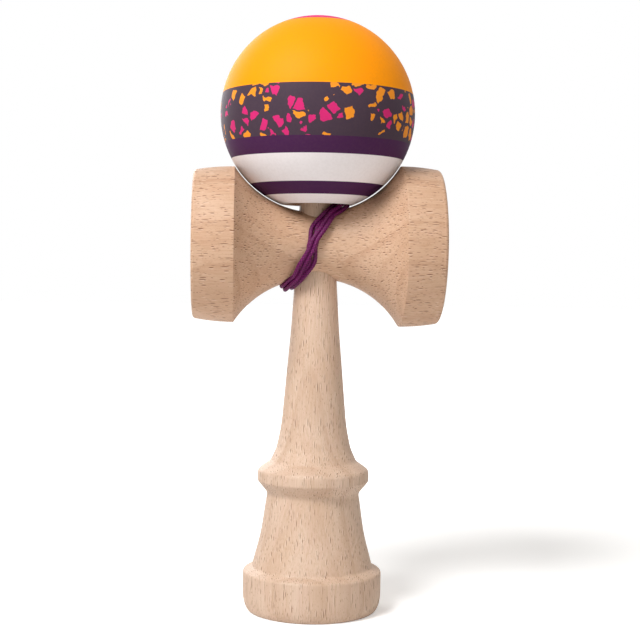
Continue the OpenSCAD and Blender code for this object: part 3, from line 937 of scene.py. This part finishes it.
def chip_pattern(finish, place):
    """Where the chips are, and the dark band's colour with them on it."""
    _, wander = finish.noise(place, 0.5, 2.0)
    wandering = finish.swayed(place, wander, (CHIP_WANDER, CHIP_WANDER, CHIP_WANDER))
    space = finish.stretched(wandering, scale=(CHIP_SCALE, CHIP_SCALE, CHIP_SCALE))
    borders = finish.cells(space, "DISTANCE_TO_EDGE")["Distance"]
    draw = finish.node("ShaderNodeSeparateColor", None, Color=finish.cells(space)["Color"]).outputs
    inset = finish.math("MULTIPLY_ADD", draw[2], 0.16, 0.05)
    chip = finish.ramp(borders, inset, finish.math("ADD", inset, 0.03))
    chip = finish.math("MULTIPLY", chip, finish.math("LESS_THAN", draw[0], CHIP_CHANCE))
    chip_tone = finish.blend(finish.math("GREATER_THAN", draw[1], 0.5), CHIP_PINK, CHIP_ORANGE)
    return chip, finish.blend(chip, GREY_PURPLE, chip_tone)


def banded_paint():
    """Satin paint in level bands, with a chip pattern on the dark one."""
    finish = Finish("banded_paint", Specular_IOR_Level=0.12)
    place = finish.object_place(move=(0, 0, -BALL_Z / MM), scale=(1 / MM, 1 / MM, 1 / MM))
    height = finish.node("ShaderNodeSeparateXYZ", None, Vector=place).outputs["Z"]
    chip, dark = chip_pattern(finish, place)

    tone = BANDS[0][1]
    for latitude, band in BANDS[1:]:
        level = BALL_R / MM * math.sin(math.radians(latitude))
        below = finish.math("SUBTRACT", 1.0, finish.ramp(height, level - BAND_EDGE, level + BAND_EDGE))
        tone = finish.blend(below, tone, dark if band is GREY_PURPLE else band)
    speck, _ = finish.noise(place, 1.3, 3.0)
    finish.feed("Base Color", finish.tinted(tone, [(finish.ramp(speck, 0.35, 0.75), 0.05, WORN)]))
    finish.feed("Roughness", finish.math("MULTIPLY_ADD", speck, 0.12, 0.5))
    peel, _ = finish.noise(place, 2.2, 2.0)
    finish.bump(finish.math("MULTIPLY_ADD", chip, 0.4, peel), 0.02 * MM, 0.25)
    return finish.material


def dyed_string():
    """Braided purple string: fine fibres along each yarn with painted highlight streaks, and painted shade
    that makes it darker between the picks.
    """
    finish = Finish("dyed_string", Specular_IOR_Level=0.22)
    straight = finish.node("ShaderNodeAttribute", {"attribute_name": "straight_string"}).outputs["Vector"]
    pick = finish.node("ShaderNodeAttribute", {"attribute_name": "pick_height"}).outputs["Fac"]
    filament_and_highlight, _ = finish.noise(finish.stretched(straight, scale=(9, 9, 2.2)), 1.0, 2.0)
    drift, _ = finish.noise(finish.stretched(straight, scale=(0.5, 0.5, 0.16)), 1.0, 2.0)
    # painted shade: the colour darkens where the braid's relief dips between the picks
    tone = finish.blend(finish.ramp(pick, 0.0, 0.8), linear(38, 2, 34), linear(110, 11, 87))
    finish.feed("Base Color", finish.tinted(tone, [
        # painted highlight streaks along the filaments; the same noise also gives real roughness and bumps
        (finish.ramp(filament_and_highlight, 0.5, 0.75), 0.5, linear(166, 70, 152)),
        (finish.ramp(drift, 0.4, 0.7), 0.35, linear(76, 6, 60)),
    ]))
    finish.feed("Roughness", finish.math("MULTIPLY_ADD", filament_and_highlight, 0.25, 0.3))
    finish.bump(filament_and_highlight, 0.03 * MM, 0.5)
    return finish.material


# The handle's grain runs up, the crosspiece's along it
handle_wood = beech(
    "handle_beech", turn=(0, 0, 0), move=(0, 0, 0), pith=(14, 62, 0), dash_cell=(0.65, 0.8, 5.0),
    dash_half=(0.7, 2.6), dash_width=0.125, dash_share=0.95, stain=(0.875, 0.99, 1.1),
)
cross_wood = beech(
    "crosspiece_beech", turn=(0, QUARTER, 0), move=(-CROSS_Z / MM, 0, 0), pith=(40, 52, 0),
    dash_cell=(0.8, 1.0, 3.2), dash_half=(0.5, 1.7), dash_width=0.17, dash_share=1.0,
    stain=(0.82, 0.82, 0.81),
)
ball_paint = banded_paint()
string_finish = dyed_string()

# Pieces

turned_piece = turned_piece_tree()
braided_string = braided_string_tree()


def turn_wood(name, outline, finish, facets, place):
    """A turned piece, set in its place."""
    points = [(r, 0, z) for r, z in outline]
    piece = grow(name, points, turned_piece, Facets=facets, Finish=finish)
    # The tree's grid brings an empty slot before the finish
    piece.data.materials.pop(index=0)
    piece.data.transform(place)
    return piece


# Turns a bore so that its corners miss the turned piece's corners
BORE_TURN = math.radians(1.1)


def bored(piece, bores):
    """The piece with round holes: each bore is (start, end, start radius, end radius)."""
    for start, end, r1, r2 in bores:
        way = Vector(end) - Vector(start)
        mesh = bpy.data.meshes.new("bore")
        shape = bmesh.new()
        bmesh.ops.create_cone(
            shape, cap_ends=True, segments=BORE_FACETS, radius1=r1, radius2=r2, depth=way.length
        )
        shape.to_mesh(mesh)
        shape.free()
        middle = (Vector(start) + Vector(end)) / 2
        lie = way.to_track_quat("Z", "Y").to_matrix().to_4x4()
        mesh.transform(Matrix.Translation(middle) @ lie @ Matrix.Rotation(BORE_TURN, 4, "Z"))
        cutter = bpy.data.objects.new("bore", mesh)
        scene.collection.objects.link(cutter)
        cut = piece.modifiers.new("cut", "BOOLEAN")
        cut.operation = "DIFFERENCE"
        cut.solver = "EXACT"
        cut.object = cutter
        bpy.context.view_layer.update()
        settle(piece)
        bpy.data.objects.remove(cutter)


def lay_string(name, route):
    """A piece of braided string along a route."""
    return grow(
        name, route, braided_string, Thickness=STRING_D + RELIEF, Step=STRING_STEP, Sides=STRING_SIDES,
        Yarns=YARNS, Pick=PICK, Relief=RELIEF, Finish=string_finish,
    )


handle = turn_wood("beech_handle", handle_outline(), handle_wood, WOOD_FACETS, Matrix.Identity(4))
bored(handle, [
    ((0, KNOT_POCKET_Y, CROSS_Z), (0, -2 * SEAT_LOW_R, CROSS_Z), KNOT_POCKET_R, KNOT_POCKET_R),
    ((0, KNOT_POCKET_Y - MM, CROSS_Z), (0, 2 * SEAT_LOW_R, CROSS_Z), STRING_HOLE_R, STRING_HOLE_R),
])
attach(handle, "handle")
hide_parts("ken_handle")

lengthways = Matrix.Translation((0, 0, CROSS_Z)) @ Matrix.Rotation(QUARTER, 4, "Y")
crosspiece = turn_wood("beech_crosspiece", crosspiece_outline(), cross_wood, WOOD_FACETS, lengthways)
BORE_PAST = SEAT_HALF + MM
bored(crosspiece, [
    ((0, 0, CROSS_Z - BORE_PAST), (0, 0, CROSS_Z + BORE_PAST),
     seat_r(CROSS_Z - BORE_PAST) + SEAT_GAP, seat_r(CROSS_Z + BORE_PAST) + SEAT_GAP),
    ((0, 0, CROSS_Z), (0, WAIST_R + MM, CROSS_Z), STRING_HOLE_R, STRING_HOLE_R),
])
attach(crosspiece, "handle")
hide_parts("sara_crosspiece")

# The ball is painted outside and bare inside its holes
ball_middle = Vector((0, 0, BALL_Z))
ball = turn_wood("painted_ball", ball_outline(), ball_paint, BALL_FACETS, Matrix.Translation(ball_middle))
ball.data.materials.append(handle_wood)
for face in ball.data.polygons:
    if (face.center - ball_middle).length < BALL_R - PAINT_DEPTH:
        face.material_index = 1
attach(ball, "ball")
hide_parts("tama_ball")

bead_low, bead_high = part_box("bead")
bead_z = (bead_low.z + bead_high.z) / 2
bead = turn_wood("wooden_bead", bead_outline(), handle_wood, BEAD_FACETS, Matrix.Translation((0, 0, bead_z)))
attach(bead, "bead")
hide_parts("bead")

wound_route = winding_route()
winding = lay_string("wound_string", wound_route)
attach(winding, "handle")
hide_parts("string_winding")

knot_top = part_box("bead_knot")[1].z
drop = [Vector((0, 0, mix(ENTRY_Z, knot_top, i / DROP_STEPS))) for i in range(1, DROP_STEPS + 1)]
rise_route = rise_points() + drop
rise = lay_string("rising_string", rise_route)
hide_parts("string_drop", "string_end")
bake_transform(rise)


KNOT_POINTS = 60


def knot_route(node):
    """A drawn-up overhand knot that fills the solid knot's place, always about the upright axis."""
    low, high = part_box(node)
    middle = (low + high) / 2
    reach = (max(high - low) - STRING_D) / 2
    loops = []
    for i in range(KNOT_POINTS + 1):
        a = 2 * math.pi * i / KNOT_POINTS
        r = reach * (2 + math.cos(3 * a)) / 3
        loops.append(Vector((r * math.cos(2 * a), r * math.sin(2 * a), reach / 2 * math.sin(3 * a))))
    return [middle + p for p in loops]


def tie_knot(node, body):
    """A tied knot in the place of a solid one."""
    knot = lay_string("tied_" + node, knot_route(node))
    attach(knot, body)
    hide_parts(node)
    return knot


handle_knot = tie_knot("handle_knot", "handle")
bead_knot = tie_knot("bead_knot", "bead")


# Stage

# The floor's glow for the camera, weak near the object and full far from it
NEAR = 0.1
FAR = 0.6
NEAR_GLOW = 0.36
FAR_GLOW = 1.0
FLOOR_HALF = 4.0
FLOOR_DROP = 0.02 * MM
FLOOR_TONE = (0.9, 0.9, 0.9, 1)
PURE_WHITE = (1, 1, 1, 1)


def make_floor():
    """A pale floor that keeps the object's shadow and turns white away from it."""
    mesh = bpy.data.meshes.new("floor")
    corners = [(x * FLOOR_HALF, y * FLOOR_HALF, 0) for x, y in ((-1, -1), (1, -1), (1, 1), (-1, 1))]
    mesh.from_pydata(corners, [], [(0, 1, 2, 3)])
    floor = bpy.data.objects.new("floor", mesh)
    floor.location.z = -FLOOR_DROP
    scene.collection.objects.link(floor)
    finish = bpy.data.materials.new("pale_floor")
    finish.use_nodes = True
    tree = finish.node_tree
    tree.nodes.clear()
    seen = tree.nodes.new("ShaderNodeLightPath").outputs["Is Camera Ray"]
    place = tree.nodes.new("ShaderNodeTexCoord").outputs["Object"]
    away = add_node(tree, "ShaderNodeVectorMath", {"operation": "LENGTH"}, i0=place).outputs["Value"]
    glow_level = add_node(
        tree, "ShaderNodeMapRange", {"interpolation_type": "SMOOTHSTEP"}, i0=away, i1=NEAR, i2=FAR,
        i3=NEAR_GLOW, i4=FAR_GLOW,
    ).outputs[0]
    lift = math_node(tree, "MULTIPLY", seen, glow_level)
    glow = add_node(tree, "ShaderNodeEmission", Color=PURE_WHITE, Strength=lift)
    matte = add_node(tree, "ShaderNodeBsdfDiffuse", Color=FLOOR_TONE)
    both = tree.nodes.new("ShaderNodeAddShader")
    tree.links.new(glow.outputs[0], both.inputs[0])
    tree.links.new(matte.outputs[0], both.inputs[1])
    out = tree.nodes.new("ShaderNodeOutputMaterial")
    tree.links.new(both.outputs[0], out.inputs["Surface"])
    mesh.materials.append(finish)


WORLD_LIGHT = 0.26
WORLD_TINT = (1, 0.95, 0.88, 1)
OBJECT_MIDDLE = Vector((0, 0, 0.1))


def make_world():
    """A white backdrop for what is seen, and soft warm light from all round for what is lit."""
    world = bpy.data.worlds.new("studio")
    scene.world = world
    world.use_nodes = True
    tree = world.node_tree
    tree.nodes.clear()
    path = tree.nodes.new("ShaderNodeLightPath").outputs
    seen = math_node(tree, "MAXIMUM", path["Is Camera Ray"], path["Is Glossy Ray"])
    seen = math_node(tree, "MAXIMUM", seen, path["Is Transmission Ray"])
    soft = add_node(tree, "ShaderNodeBackground", Color=WORLD_TINT, Strength=WORLD_LIGHT)
    white = add_node(tree, "ShaderNodeBackground", Color=PURE_WHITE, Strength=1.0)
    both = add_node(tree, "ShaderNodeMixShader", i0=seen, i1=soft.outputs[0], i2=white.outputs[0])
    out = tree.nodes.new("ShaderNodeOutputWorld")
    tree.links.new(both.outputs[0], out.inputs["Surface"])


def add_lamp(name, place, size, power, tint=(1, 1, 1)):
    """A round lamp that shines on the object's middle."""
    lamp = bpy.data.lights.new(name, "AREA")
    lamp.shape = "DISK"
    lamp.size = size
    lamp.energy = power
    lamp.color = tint
    holder = bpy.data.objects.new(name, lamp)
    holder.location = place
    holder.rotation_euler = (OBJECT_MIDDLE - Vector(place)).to_track_quat("-Z", "Y").to_euler()
    scene.collection.objects.link(holder)


make_floor()
make_world()
add_lamp("key", place=(-0.45, -0.5, 0.82), size=0.4, power=10.0)
add_lamp("fill", place=(0.5, -0.7, 0.55), size=0.6, power=1.2, tint=(1, 0.92, 0.84))
add_lamp("back", place=(-0.4, 0.75, 0.4), size=0.6, power=3.2)
